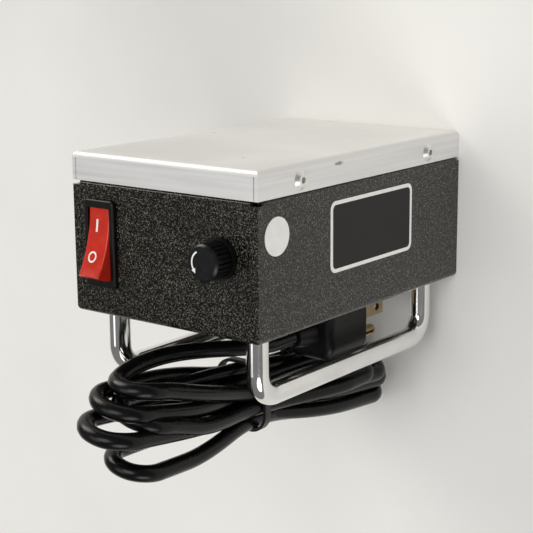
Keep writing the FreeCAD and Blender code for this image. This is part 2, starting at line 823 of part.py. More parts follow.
def make_switch_housing():
    """Black moulded housing: a bezel that clips over the panel and a box behind it."""
    body = new_body("switch_body_solid")
    half_x = bezel_width / 2
    half_y = bezel_length / 2
    bezel = sketch(body, "bezel_profile", "XY_Plane", panel_z)
    rounded_rectangle(
        bezel, switch_x - half_x, switch_y - half_y, switch_x + half_x, switch_y + half_y, bezel_rise
    )
    solid = pad(body, "bezel", bezel, bezel_rise)
    top = number(panel_z + bezel_rise)
    rim = edges_where(solid.Shape, lambda p, e: near(p.z, top))
    soften(body, "bezel_round", solid, rim, bezel_rise * 0.4)
    half_x = (bezel_width - 1.9) / 2
    half_y = (bezel_length - 2.4) / 2
    box = sketch(body, "housing_profile", "XY_Plane", panel_z)
    rectangle(box, switch_x - half_x, switch_y - half_y, switch_x + half_x, switch_y + half_y)
    pad(body, "housing_box", box, switch_body, reverse=True)
    window = sketch(body, "window_profile", "XY_Plane", panel_z + bezel_rise)
    half_x = rocker_width / 2 + rocker_gap
    half_y = rocker_radius + rocker_gap
    rectangle(window, switch_x - half_x, switch_y - half_y, switch_x + half_x, switch_y + half_y)
    pocket(body, "window", window, bezel_rise + switch_body - 2)
    pins = sketch(body, "pin_hole_profile", "YZ_Plane", switch_x - rocker_width / 2 - 1.3)
    circle(pins, switch_y, pivot_z, rocker_pin / 2 + 0.05)
    pocket(body, "pin_holes", pins, rocker_width + 2.6, reverse=True)
    slots = sketch(body, "blade_slot_profile", "XY_Plane", panel_z - switch_body)
    for y in (switch_y, switch_y + lever_half - 1):
        half_x = blade_width / 2 + 0.05
        rectangle(slots, switch_x - half_x, y - 0.45, switch_x + half_x, y + 0.45)
    pocket(body, "blade_slots", slots, 4.0, reverse=True)
    return keep(body, "switch_housing")


def make_rocker():
    """Rocker with a hollowed face, ends that are arcs round its pivot, two pins and a plunger.
    It is drawn level about its own pivot and then tipped so that its upper end is pressed in."""
    body = new_body("rocker_solid")
    profile = sketch(body, "rocker_profile", "YZ_Plane", rocker_width / -2)
    reach = other_leg(rocker_radius, rocker_end_rise)
    skirt = rocker_end_rise * 1.15
    skirt_reach = other_leg(rocker_radius, skirt)
    face_radius = (reach * reach / rocker_dip + rocker_dip) / 2
    face_centre = rocker_end_rise - rocker_dip + face_radius
    tip = plunger_width / 2
    tip_centre = tip - plunger_reach
    outline(
        profile,
        [
            (-reach, rocker_end_rise, 0.0, face_centre, -1, face_radius),
            (-skirt_reach, -skirt, 0.0, 0.0, 1, rocker_radius),
            (-tip, -skirt),
            (-tip, tip_centre),
            (0.0, -plunger_reach, 0.0, tip_centre, 1, tip),
            (tip, tip_centre, 0.0, tip_centre, 1, tip),
            (tip, -skirt),
            (skirt_reach, -skirt),
            (reach, rocker_end_rise, 0.0, 0.0, 1, rocker_radius),
        ],
    )
    solid = pad(body, "rocker_block", profile, rocker_width)

    def face_edge(p, e):
        return near(abs(p.x), number(rocker_width) / 2) and p.z > 0 and e.Length > number(rocker_radius)

    solid = soften(body, "rocker_round", solid, edges_where(solid.Shape, face_edge), 0.5)
    pin = sketch(body, "rocker_pin_profile", "YZ_Plane", rocker_width / -2 - 1)
    circle(pin, 0.0, 0.0, rocker_pin / 2)
    pad(body, "rocker_pins", pin, rocker_width + 2)
    place(body, switch_x, switch_y, pivot_z)
    bind(body, "Placement.Rotation.Axis.x", 1.0)
    bind(body, "Placement.Rotation.Axis.y", 0.0)
    bind(body, "Placement.Rotation.Axis.z", 0.0)
    bind(body, "Placement.Rotation.Angle", rocker_tilt)
    return keep(body, "rocker")


def make_contact_lever():
    """See-saw contact strip that the plunger tips over, with a round rib along its pivot."""
    body = new_body("lever_solid")
    profile = sketch(body, "lever_profile", "YZ_Plane", blade_width / -2.4)
    outline(
        profile,
        [
            (-lever_half, 0.0),
            (lever_half, 0.0),
            (lever_half, lever_sheet),
            (-lever_half, lever_sheet),
        ],
    )
    pad(body, "lever_strip", profile, blade_width / 1.2)
    rib = sketch(body, "lever_rib_profile", "YZ_Plane", blade_width / -2.4)
    circle(rib, 0.0, 0.0, lever_sheet / 2)
    pad(body, "lever_rib", rib, blade_width / 1.2)
    place(body, switch_x, switch_y, pivot_z - lever_drop - lever_sheet)
    bind(body, "Placement.Rotation.Axis.x", 1.0)
    bind(body, "Placement.Rotation.Axis.y", 0.0)
    bind(body, "Placement.Rotation.Axis.z", 0.0)
    bind(body, "Placement.Rotation.Angle", -lever_tilt)
    return keep(body, "contact_lever")


def make_switch_terminals():
    """Two brass blades through the housing floor: the lever's saddle and the fixed contact."""
    low = panel_z - switch_body - blade_reach
    lever_z = pivot_z - lever_drop - lever_sheet
    half = blade_width / 2
    blades = []
    for name, y, top in (
        ("saddle_blade", switch_y, lever_z - 0.45),
        ("contact_blade", switch_y + lever_half - 1, lever_z - 1.0),
    ):
        low_corner = (switch_x - half, y - 0.4, low)
        high_corner = (switch_x + half, y + 0.4, top)
        blades.append(block(name, low_corner, high_corner))
    return keep(group("blade_group", blades), "switch_terminals")


def make_fuse_holder():
    """Moulded holder: a flange on the panel and a threaded barrel behind it."""
    foot = (fuse_x, fuse_y, panel_z)
    flange = round_solid("fuse_flange_disc", foot, Z_AXIS, 0.0, fuse_flange_rise, fuse_flange / 2)
    barrel = round_solid("fuse_barrel_tube", foot, Z_AXIS * -1, -0.5, fuse_depth + 0.5, fuse_barrel / 2)
    whole = fuse("fuse_holder_whole", [flange, barrel])
    bore = round_solid(
        "fuse_holder_bore", foot, Z_AXIS * -1, -3.0, fuse_depth + 3 - 2, fuse_bore / 2
    )
    slot = round_solid("fuse_pin_way", foot, Z_AXIS * -1, fuse_depth - 5, 8.0, 1.1)
    return keep(cut("fuse_holder_body", cut("fuse_holder_open", whole, bore), slot), "fuse_holder")


def make_fuse_nut():
    foot = (fuse_x, fuse_y, panel_z - tray_sheet - 0.05)
    body = hexagon("fuse_nut_body", foot, Z_AXIS * -1, 0.0, 3.5, 16.0)
    bore = round_solid("fuse_nut_bore", foot, Z_AXIS * -1, -1.0, 6.0, fuse_barrel / 2 + 0.04)
    return keep(cut("fuse_nut_ring", body, bore), "fuse_nut")


def make_fuse_cap():
    """Screw cap: a ribbed grip, a bevelled top, and a stem with a socket that holds the fuse."""
    body = new_body("fuse_cap_solid")
    start = panel_z + fuse_flange_rise + 0.2
    top = panel_z + fuse_cap_top
    grip = sketch(body, "fuse_grip_profile", "XY_Plane", start)
    circle(grip, 0.0, 0.0, fuse_cap_width / 2)
    solid = pad(body, "fuse_grip", grip, top - start)
    rim = edges_where(solid.Shape, lambda p, e: near(p.z, number(top)))
    soften(body, "fuse_bevel", solid, rim, 0.7, "PartDesign::Chamfer")
    groove = sketch(body, "knurl_profile", "XY_Plane", start)
    radius = fuse_cap_width / 2
    half = fuse_cap_width / knurl_ribs
    outline(groove, [(radius - 0.55, 0.0), (radius + 0.3, -half), (radius + 0.3, half)])
    notch = pocket(body, "knurl_groove", groove, top - start - 1.4, reverse=True)
    knurl = body.newObject("PartDesign::PolarPattern", "knurl")
    knurl.Originals = [notch]
    knurl.Axis = (groove, ["N_Axis"])
    knurl.Angle = 360
    knurl.Occurrences = int(number(knurl_ribs))
    body.Tip = knurl
    DOC.recompute()
    stem = sketch(body, "fuse_stem_profile", "XY_Plane", start)
    circle(stem, 0.0, 0.0, fuse_stem / 2)
    pad(body, "fuse_stem_rod", stem, fuse_stem_drop + fuse_flange_rise, reverse=True)
    socket = sketch(body, "fuse_socket_profile", "XY_Plane", start - fuse_flange_rise - fuse_stem_drop)
    circle(socket, 0.0, 0.0, fuse_end / 2 + 0.05)
    pocket(body, "fuse_socket", socket, 5.3, reverse=True)
    place(body, fuse_x, fuse_y, 0.0)
    return keep(body, "fuse_cap")


def fuse_top_z():
    """The upper end of the fuse, just short of the bottom of the cap's socket."""
    return panel_z + 0.2 - fuse_stem_drop + 5.2


def make_fuse_glass():
    foot = (fuse_x, fuse_y, fuse_top_z() - 1)
    tube = round_solid("fuse_glass_rod", foot, Z_AXIS * -1, 0.0, fuse_length - 2, fuse_end / 2 - 0.3)
    return keep(tube, "fuse_glass")


def make_fuse_ends():
    """The two metal caps on the fuse's glass."""
    caps = []
    for name, start in (("fuse_end_upper", 0.0), ("fuse_end_lower", fuse_length - 5)):
        foot = (fuse_x, fuse_y, fuse_top_z())
        outer = round_solid(name + "_outer", foot, Z_AXIS * -1, start, 5.0, fuse_end / 2)
        way_start = start + (1 if name.endswith("upper") else -1)
        way = round_solid(name + "_way", foot, Z_AXIS * -1, way_start, 5.0, fuse_end / 2 - 0.28)
        caps.append(cut(name, outer, way))
    return keep(group("fuse_end_group", caps), "fuse_ends")


def make_fuse_terminals():
    """Centre pin with its tab, and the side tab on the barrel."""
    foot = (fuse_x, fuse_y, panel_z - fuse_depth)
    pin = round_solid("fuse_pin", foot, Z_AXIS, -3.0, 4.6, 1.0)
    low = (fuse_x - 0.4, fuse_y - 2.4, panel_z - fuse_depth - 9)
    high = (fuse_x + 0.4, fuse_y + 2.4, panel_z - fuse_depth - 0.1)
    tail = block("fuse_pin_tab", low, high)
    centre = fuse("fuse_centre_terminal", [pin, tail])
    edge = fuse_y + fuse_barrel / 2 + 0.05
    low = (fuse_x - 2.4, edge, panel_z - fuse_depth + 2)
    high = (fuse_x + 2.4, edge + 0.8, panel_z - fuse_depth + 12)
    side = block("fuse_side_terminal", low, high)
    return keep(group("fuse_terminal_group", [centre, side]), "fuse_terminals")


def make_strain_relief():
    """Rubber bush: a collar behind the floor, a neck in its hole, a flange and a tapered sleeve."""
    foot = (relief_x, floor_y, relief_z)
    half = relief_foot / 2
    collar = round_solid("relief_collar", foot, Y_AXIS * -1, tray_sheet + 0.05, 3.2, half * 0.82)
    neck = round_solid("relief_neck", foot, Y_AXIS * -1, -0.5, tray_sheet + 1.5, half * 0.72)
    flange = round_solid("relief_flange", foot, Y_AXIS, 0.0, 1.8, half)
    sleeve = round_solid(
        "relief_sleeve", foot, Y_AXIS, 1.2, relief_reach - 1.2, half * 0.8, cord_width / 2 + 0.8
    )
    return keep(fuse("relief_whole", [collar, neck, flange, sleeve]), "strain_relief")


def cord_tube(node, points, width):
    """A round tube along straight runs joined by tangent arcs, each as large as its runs allow."""
    route = [FreeCAD.Vector(*[number(c) for c in point]) for point in points]
    edges = []
    here = route[0]
    length = 0.0
    for index in range(1, len(route) - 1):
        corner = route[index]
        back = (corner - route[index - 1])
        ahead = (route[index + 1] - corner)
        half_turn = back.getAngle(ahead) / 2
        setback = 0.45 * min(back.Length, ahead.Length)
        radius = setback / math.tan(half_turn)
        back.normalize()
        ahead.normalize()
        start = corner - back * setback
        end = corner + ahead * setback
        bisector = (ahead - back).normalize()
        middle = corner + bisector * (radius / math.cos(half_turn) - radius)
        edges.append(Part.LineSegment(here, start).toShape())
        edges.append(Part.Arc(start, middle, end).toShape())
        length += (start - here).Length + radius * half_turn * 2
        here = end
        print(f"{node}: turn {math.degrees(half_turn * 2):.0f} degrees, radius {radius:.1f} mm")
    edges.append(Part.LineSegment(here, route[-1]).toShape())
    length += (route[-1] - here).Length
    path = Part.Wire(edges)
    section = Part.Wire(Part.makeCircle(number(width) / 2, route[0], route[1] - route[0]))
    tube = path.makePipeShell([section], True, True)
    expected = math.pi * number(width) ** 2 / 4 * length
    if abs(tube.Volume / expected - 1) > 0.01:
        raise ValueError(f"{node} has {tube.Volume:.0f} mm3, and its route needs {expected:.0f}")
    print(f"{node}: {length:.1f} mm long")
    made = DOC.addObject("Part::Feature", node + "_tube")
    made.Shape = tube
    return keep(made, node)


def make_cord_lead():
    """The cord between its strain relief and the hank."""
    start = floor_y + relief_reach
    points = [
        (relief_x, start, relief_z),
        (relief_x, start + 14, relief_z),
    ]
    return cord_tube("cord_lead", points, cord_width)


def make_cord_tail():
    """The cord from the plug's nose up into the hank, past the outside of the tie."""
    nose = plug_front + plug_length + nose_length
    points = [
        (plug_x, plug_y, nose),
        (plug_x, plug_y, nose + 14),
        (plug_x + 8, plug_y - 1.5, nose + 50),
    ]
    return cord_tube("cord_tail", points, cord_width)


HANK_SECTIONS = [
    # height, middle x, middle y, half width, half depth
    (0.6, -3.0, 59.8, 17.0, 14.6),
    (6.0, -3.0, 59.6, 20.0, 16.6),
    (30.0, -3.0, 59.6, 21.0, 16.4),
    (62.0, -2.0, 57.4, 19.5, 14.4),
    (81.0, -1.0, 51.3, 11.0, 12.6),
    (92.0, -1.0, 51.3, 11.0, 12.6),
    (122.0, 0.0, 47.6, 16.0, 23.0),
    (146.0, 0.0, 46.0, 16.0, 23.4),
    (160.0, 0.0, 45.6, 14.0, 18.0),
    (168.6, 0.0, 47.0, 8.0, 9.0),
]


def hank_section(height):
    """The hank's middle and half sizes at a height, read between its sections."""
    pairs = list(zip(HANK_SECTIONS, HANK_SECTIONS[1:]))
    for low, high in pairs:
        if low[0] <= height <= high[0]:
            share = (height - low[0]) / (high[0] - low[0])
            return [a + (b - a) * share for a, b in zip(low, high)]
    raise ValueError(f"the hank has no section at {height}")


def make_cord_hank():
    """The outer shape of the folded hank: loose turns at both ends, drawn in by the tie."""
    rings = []
    for index, (height, x, y, half_x, half_y) in enumerate(HANK_SECTIONS):
        ring = DOC.addObject("Sketcher::SketchObject", f"hank_ring_{index}")
        corner = min(half_x, half_y) * 0.6
        rounded_rectangle(ring, x - half_x, y - half_y, x + half_x, y + half_y, corner)
        place(ring, 0.0, 0.0, height)
        rings.append(ring)
    loft = DOC.addObject("Part::Loft", "hank_loft")
    loft.Sections = rings
    loft.Solid = True
    loft.Ruled = True
    return keep(loft, "cord_hank")


def make_cord_tie():
    """The band that draws the hank in."""
    body = new_body("tie_body")
    _, x, y, half_x, half_y = hank_section(number(tie_z))
    low = sketch(body, "tie_profile", "XY_Plane", tie_z - tie_width / 2)
    for grow in (1.0, -0.2):
        reach_x = half_x + grow
        reach_y = half_y + grow
        corner = half_x * 0.6 + grow
        rounded_rectangle(low, x - reach_x, y - reach_y, x + reach_x, y + reach_y, corner)
    pad(body, "tie_band", low, tie_width)
    return keep(body, "cord_tie")


def make_plug():
    """Moulded three-pin plug with a tapered nose where the cord leaves it."""
    body = new_body("plug_solid")
    half_x = plug_width / 2
    half_y = plug_height / 2
    profile = sketch(body, "plug_profile", "XY_Plane", plug_front)
    rounded_rectangle(
        profile, plug_x - half_x, plug_y - half_y, plug_x + half_x, plug_y + half_y, plug_height / 4
    )
    solid = pad(body, "plug_block", profile, plug_length)
    back = number(plug_front + plug_length)
    rear = edges_where(solid.Shape, lambda p, e: near(p.z, back))
    soften(body, "plug_round", solid, rear, 3)
    nose = sketch(body, "nose_profile", "XY_Plane", plug_front + plug_length - 1)
    circle(nose, plug_x, plug_y, cord_width / 2 + 3.2)
    cone = pad(body, "plug_nose", nose, nose_length + 1)
    cone.TaperAngle = -11
    DOC.recompute()
    return keep(body, "plug_body")


def make_plug_prongs():
    """Two flat brass prongs with the usual hole near the tip, and a folded earth pin."""
    prongs = []
    row_y = plug_y - prong_row
    for side in (-1, 1):
        name = f"prong_{side}".replace("-", "m")
        x = plug_x + prong_pitch / 2 * side
        low = (x - 0.75, row_y - blade_width / 2, plug_front - prong_length)
        high = (x + 0.75, row_y + blade_width / 2, plug_front)
        blade = block(name + "_blade", low, high)
        foot = (x, row_y, plug_front - prong_length + 4.5)
        hole = round_solid(name + "_hole", foot, X_AXIS, -2.0, 4.0, 1.6)
        prongs.append(cut(name, blade, hole))
    half = earth_width / 2
    foot = (plug_x, row_y + earth_offset, plug_front)
    pin = round_solid("earth_rod", foot, Z_AXIS * -1, 0.0, earth_length - half, half)
    tip = DOC.addObject("Part::Sphere", "earth_tip")
    bind(tip, "Radius", half)
    place(tip, plug_x, row_y + earth_offset, plug_front - earth_length + half)
    low = (plug_x - earth_width, row_y + earth_offset - 0.6, plug_front - earth_length + 3)
    high = (plug_x + earth_width, row_y + earth_offset + 0.6, plug_front - 1.5)
    fold = block("earth_fold", low, high)
    prongs.append(cut("earth_pin", fuse("earth_whole", [pin, tip]), fold))
    return keep(group("prong_group", prongs), "plug_prongs")


def check_document():
    """Stops before anything is written if a feature failed or a sub-part has no sound shape."""
    DOC.recompute()
    for thing in DOC.Objects:
        if "Invalid" in thing.State or "Error" in thing.State:
            raise ValueError(f"{thing.Name} is {thing.State}")
    for thing in PARTS:
        if thing.Shape.isNull() or not thing.Shape.isValid():
            raise ValueError(f"{thing.Label} has no sound shape")


def write_parts():
    os.makedirs("parts", exist_ok=True)
    for thing in PARTS:
        thing.Shape.exportStep(f"parts/{thing.Label}.step")
        box = thing.Shape.BoundBox
        print(
            f"{thing.Label:18} {len(thing.Shape.Solids):2} solids {thing.Shape.Volume:9.0f} mm3 "
            f"x {box.XMin:6.1f} {box.XMax:6.1f} y {box.YMin:6.1f} {box.YMax:6.1f} "
            f"z {box.ZMin:6.1f} {box.ZMax:6.1f}"
        )


make_tray()
make_pole_cover()
make_rivets()
make_handle(-1, "handle_left")
make_handle(1, "handle_right")
make_handle_screws()
make_handle_washers()
make_core()
make_bracket(-1, "core_bracket_left")
make_bracket(1, "core_bracket_right")
make_core_bolts()
make_core_nuts()
make_foot_screws()
make_foot_nuts()
make_bobbin()
make_winding()
make_coil_tape()
make_switch_housing()
make_rocker()
make_contact_lever()
make_switch_terminals()
make_fuse_holder()
make_fuse_nut()
make_fuse_cap()
make_fuse_glass()
make_fuse_ends()
make_fuse_terminals()
make_strain_relief()
make_cord_lead()
make_cord_hank()
make_cord_tie()
make_cord_tail()
make_plug()
make_plug_prongs()
check_document()
write_parts()
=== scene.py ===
import math

import bpy
from mathutils import Matrix, Vector


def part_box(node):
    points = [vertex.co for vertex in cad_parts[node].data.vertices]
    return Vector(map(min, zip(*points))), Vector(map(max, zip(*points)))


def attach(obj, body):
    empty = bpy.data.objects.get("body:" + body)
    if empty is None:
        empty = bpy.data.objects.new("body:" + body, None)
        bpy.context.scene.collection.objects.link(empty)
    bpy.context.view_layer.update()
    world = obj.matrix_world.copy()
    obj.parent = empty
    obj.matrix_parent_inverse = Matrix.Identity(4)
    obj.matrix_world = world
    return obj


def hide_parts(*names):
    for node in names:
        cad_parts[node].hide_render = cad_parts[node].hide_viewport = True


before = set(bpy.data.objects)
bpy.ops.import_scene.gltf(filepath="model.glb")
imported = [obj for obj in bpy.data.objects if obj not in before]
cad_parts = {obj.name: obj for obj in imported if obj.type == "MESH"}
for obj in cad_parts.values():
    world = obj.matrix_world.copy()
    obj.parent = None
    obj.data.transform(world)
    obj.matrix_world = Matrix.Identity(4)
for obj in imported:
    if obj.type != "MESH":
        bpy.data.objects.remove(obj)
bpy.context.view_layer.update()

# Camera. A long lens a little above the panel's corner. It is rolled on its side, so that the box,
# which stands on its rear end, lies with its aluminium cover up in the picture.
camera_place = (-0.31579, -0.11070, 0.47580)
camera_right = Vector((-0.79008, 0.00821, -0.61294))
camera_up = Vector((0.12801, -0.97566, -0.17806))
camera_back = camera_right.cross(camera_up)
camera = bpy.data.objects.new("camera", bpy.data.cameras.new("camera"))
camera.matrix_world = Matrix.Translation(camera_place) @ Matrix(
    (camera_right, camera_up, camera_back)
).transposed().to_4x4()
camera.data.sensor_width = 36.0
camera.data.lens = 93.11
camera.data.clip_start = 0.01
bpy.context.scene.collection.objects.link(camera)
bpy.context.scene.camera = camera

# Cord. Round black mains cord, 6.2 mm across, in a limp smooth jacket. It leaves the box through the
# strain relief, is folded into a hank of five long turns with a band round its waist, and ends in
# the plug's nose.
MM = 0.001


def material(name):
    """An empty node material with the tree that holds it and its shader."""
    made = bpy.data.materials.new(name)
    made.use_nodes = True
    tree = made.node_tree
    return made, tree, tree.nodes["Principled BSDF"]


def node(tree, kind, **settings):
    """A node with its properties and its unlinked sockets set by name."""
    made = tree.nodes.new(kind)
    for key, value in settings.items():
        if hasattr(made, key):
            setattr(made, key, value)
        else:
            made.inputs[key.replace("_", " ").title()].default_value = value
    return made


def grain(tree, scale, detail=2.0, distortion=0.0, stretch=(1.0, 1.0, 1.0), turn=(0.0, 0.0, 0.0)):
    """Noise in the object's own coordinates, with about as many cells per metre as the scale."""
    coordinates = node(tree, "ShaderNodeTexCoord")
    mapping = node(tree, "ShaderNodeMapping")
    mapping.inputs["Scale"].default_value = stretch
    mapping.inputs["Rotation"].default_value = turn
    tree.links.new(coordinates.outputs["Object"], mapping.inputs["Vector"])
    noise = node(
        tree, "ShaderNodeTexNoise", scale=scale, detail=detail, distortion=distortion
    )
    tree.links.new(mapping.outputs["Vector"], noise.inputs["Vector"])
    return noise.outputs["Fac"]


def ramp(tree, source, stops):
    """A colour ramp over a value; each stop is (place, colour)."""
    made = node(tree, "ShaderNodeValToRGB")
    elements = made.color_ramp.elements
    while len(elements) < len(stops):
        elements.new(0.5)
    for element, (place, colour) in zip(elements, stops):
        element.position = place
        element.color = (*colour, 1.0)
    tree.links.new(source, made.inputs["Fac"])
    return made.outputs["Color"]


def grey(level):
    return (level, level, level)


def bump(tree, shader, source, height, strength=1.0, socket="Normal"):
    """Relief of a height in metres on the shader, or on its clear coat."""
    made = node(tree, "ShaderNodeBump", strength=strength, distance=height)
    tree.links.new(source, made.inputs["Height"])
    tree.links.new(made.outputs["Normal"], shader.inputs[socket])


def surface(name, dull, bright, rough, scale, height, metal=0.0, stretch=(1.0, 1.0, 1.0), gloss=0.5):
    """A finish that drifts between two colours and two roughnesses, with a relief that is six times
    as fine as the drift."""
    made, tree, shader = material(name)
    cloud = grain(tree, scale, detail=4.0, stretch=stretch)
    colour = ramp(tree, cloud, [(0.32, dull), (0.68, bright)])
    tree.links.new(colour, shader.inputs["Base Color"])
    smooth, coarse = rough
    haze = ramp(tree, cloud, [(0.3, grey(smooth)), (0.7, grey(coarse))])
    tree.links.new(haze, shader.inputs["Roughness"])
    relief = grain(tree, scale * 6, stretch=stretch)
    bump(tree, shader, relief, height)
    shader.inputs["Metallic"].default_value = metal
    shader.inputs["Specular IOR Level"].default_value = gloss
    return made


jacket = surface(
    "cord_jacket", dull=(0.0018, 0.0018, 0.0019), bright=(0.0034, 0.0033, 0.0033),
    rough=(0.20, 0.30), scale=160.0, height=0.00003, gloss=0.25,
)

# Points of the route are (x, height, distance out from the side that carries the handles), in mm.
cord_width = 6.2
handle_side_y = 15.95
tie_height = 86.6
exit_point = (13.0, 40.6, 19.0)
lead = [exit_point, (13, 40.6, 32), (13.8, 37.4, 43), (15, 27.5, 49.5)]
tail = [
    (8, 145.6, 16), (9, 135, 14), (7, 121, 13), (0, 108, 13), (-8, 96, 13.8),
    (-12, 84, 14.8), (-12, 77, 14.8), (-12, 70, 14.8),
]

# A turn has an upper and a lower loop, each with a middle, a half width and a tip. Its far and near
# sides have a distance out at each loop's tip and halfway from there to the tie, and the x and the
# distance out at which they pass the tie.
turns = [
    dict(
        upper=(0, 9.5, 152.8), upper_out=(43, 47), upper_mid=(43.5, 48),
        near_tie=(-5.5, 43.0), far_tie=(6.4, 36),
        lower=(6, 9, 11.0), lower_out=(52, 54), lower_mid=(46, 51),
    ),
    dict(
        upper=(1, 10.5, 163.8), upper_out=(28.5, 32.4), upper_mid=(32.5, 37.5),
        near_tie=(0, 43), far_tie=(0, 31.5),
        lower=(-4, 9, 8.0), lower_out=(46, 52.5), lower_mid=(40, 49),
    ),
    dict(
        upper=(-2, 9.5, 150.8), upper_out=(23.5, 30), upper_mid=(26, 37.5),
        near_tie=(-6.4, 39), far_tie=(0, 25.5),
        lower=(-12, 8.5, 26.0), lower_out=(33, 38), lower_mid=(30, 38),
    ),
    dict(
        upper=(1, 10, 157.8), upper_out=(20, 24.5), upper_mid=(22, 31),
        near_tie=(0, 36.8), far_tie=(6.4, 29.4),
        lower=(-9, 8.5, 13.0), lower_out=(34, 41), lower_mid=(30.5, 38),
    ),
    dict(
        upper=(-1, 9, 150.8), upper_out=(16, 17.5), upper_mid=(19, 25),
        near_tie=(-6.4, 34), far_tie=None,
        lower=(-4, 9, 5.0), lower_out=(34, 46.5), lower_mid=(30, 42.5),
    ),
]

# Heights of the points halfway between a loop and the tie. The upper one on the far side pulls in.
lower_halfway = 50.6
upper_halfway_near = 119.6
upper_halfway_far = 116.6
far_pull = 0.9

# A loop's points, in half widths: the neck's and the corner's distance from the tip, and that of the
# two tip points from the middle. The neck leans by its share towards the side's run to the tie, the
# corner and the tip point by theirs towards the loop's other side.
neck_rise = 1.4
neck_lean = 0.2
corner_rise = 0.58
corner_lean = 0.04
tip_half = 0.42
tip_lean = 0.3


def between(low, high, share):
    return low + (high - low) * share


def loop_side(loop, inward, side, out, mid, other_out):
    """One side of a loop: its neck, corner and tip point. Corner and tip points of both sides are
    about the corners of half an octagon, and the smooth curve runs inside them."""
    middle, half, tip = loop
    edge = middle + side * half
    return [
        (edge, tip + inward * half * neck_rise, between(out, mid, neck_lean)),
        (edge, tip + inward * half * corner_rise, between(out, other_out, corner_lean)),
        (middle + side * half * tip_half, tip, between(out, other_out, tip_lean)),
    ]


route = lead[:]
for number, turn in enumerate(turns):
    middle, half, _ = turn["lower"]
    far, near = turn["lower_out"]
    far_mid, near_mid = turn["lower_mid"]
    far_side = loop_side(turn["lower"], 1, 1, far, far_mid, near)
    near_side = loop_side(turn["lower"], 1, -1, near, near_mid, far)
    if number:
        route += [(middle + half, lower_halfway, far_mid), far_side[0]]
    route += far_side[1:] + near_side[::-1]
    route += [
        (middle - half, lower_halfway, near_mid),
        (turn["near_tie"][0], tie_height, turn["near_tie"][1]),
    ]
    middle, half, _ = turn["upper"]
    far, near = turn["upper_out"]
    far_mid, near_mid = turn["upper_mid"]
    far_side = loop_side(turn["upper"], -1, 1, far, far_mid, near)
    near_side = loop_side(turn["upper"], -1, -1, near, near_mid, far)
    route += [(middle - half, upper_halfway_near, near_mid)] + near_side + far_side[:1:-1]
    if turn["far_tie"]:
        route += far_side[1::-1]
        route += [
            (middle + half * far_pull, upper_halfway_far, far_mid),
            (turn["far_tie"][0], tie_height, turn["far_tie"][1]),
        ]
route += tail

curve = bpy.data.curves.new("cord", "CURVE")
curve.dimensions = "3D"
curve.bevel_depth = cord_width / 2 * MM
curve.bevel_resolution = 5
curve.resolution_u = 10
curve.use_fill_caps = True
spline = curve.splines.new("NURBS")
spline.points.add(len(route) - 1)
for point, (x, z, out) in zip(spline.points, route):
    point.co = (x * MM, (handle_side_y + out) * MM, z * MM, 1.0)
spline.order_u = 3
spline.use_endpoint_u = True
cord = bpy.data.objects.new("cord", curve)
cord.data.materials.append(jacket)
bpy.context.scene.collection.objects.link(cord)
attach(cord, "housing")
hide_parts("cord_lead", "cord_hank", "cord_tail")

# Floor and light. A plain sheet of off-white card under the box. Four broad soft lamps shine from
# far off: a warm one low on the switch's side of the cover, one across from it on the handles' side,
# and two high up. The sky is dim on the object and pale behind it.
card, tree, shader = material("pale_card")
mottle = grain(tree, 14.0, detail=5.0)
tint = ramp(tree, mottle, [(0.3, (0.835, 0.822, 0.79)), (0.7, (0.875, 0.862, 0.83))])
tree.links.new(tint, shader.inputs["Base Color"])
shader.inputs["Roughness"].default_value = 0.9
bpy.ops.mesh.primitive_plane_add(size=12.0, location=(0.0, 0.0, 0.0))
floor = bpy.context.object
floor.name = "floor"
floor.data.materials.append(card)


def lamp(name, azimuth, elevation, strength, colour=(1.0, 1.0, 1.0)):
    """A distant soft lamp, 35 degrees across, that shines from a direction in degrees."""
    data = bpy.data.lights.new(name, "SUN")
    data.angle = math.radians(35)
    data.energy = strength
    data.color = colour
    turn = math.radians(azimuth)
    rise = math.radians(elevation)
    outward = Vector(
        (math.cos(rise) * math.cos(turn), math.cos(rise) * math.sin(turn), math.sin(rise))
    )
    made = bpy.data.objects.new(name, data)
    made.location = outward
    made.rotation_euler = (-outward).to_track_quat("-Z", "Y").to_euler()
    bpy.context.scene.collection.objects.link(made)


lamp("low_lamp", azimuth=315, elevation=12, strength=1.72, colour=(1.0, 0.945, 0.84))
lamp("far_lamp", azimuth=135, elevation=30, strength=1.04)
lamp("cover_lamp", azimuth=240, elevation=72, strength=1.06)
lamp("switch_lamp", azimuth=0, elevation=72, strength=0.44)
sky_light = 0.20
sky_seen = 0.80
world = bpy.data.worlds.new("sky")
world.use_nodes = True
sky = world.node_tree
seen = node(sky, "ShaderNodeLightPath").outputs["Is Camera Ray"]
level = node(sky, "ShaderNodeMapRange", to_min=sky_light, to_max=sky_seen)
sky.links.new(seen, level.inputs["Value"])
sky.links.new(level.outputs["Result"], sky.nodes["Background"].inputs["Strength"])
sky.nodes["Background"].inputs["Color"].default_value = (1.0, 1.0, 1.0, 1.0)
bpy.context.scene.world = world
bpy.context.scene.view_settings.view_transform = "Standard"

# Tray. The deep box that carries everything, 85 x 129 x 48.6 mm, folded from 1.2 mm steel with a
# stepped rim under the cover's lips. It has black wrinkle paint with a dense pale speckle, which is
# baked on.


def paint(finish, *nodes):
    for name in nodes:
        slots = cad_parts[name].data.materials
        slots.clear()
        slots.append(finish)


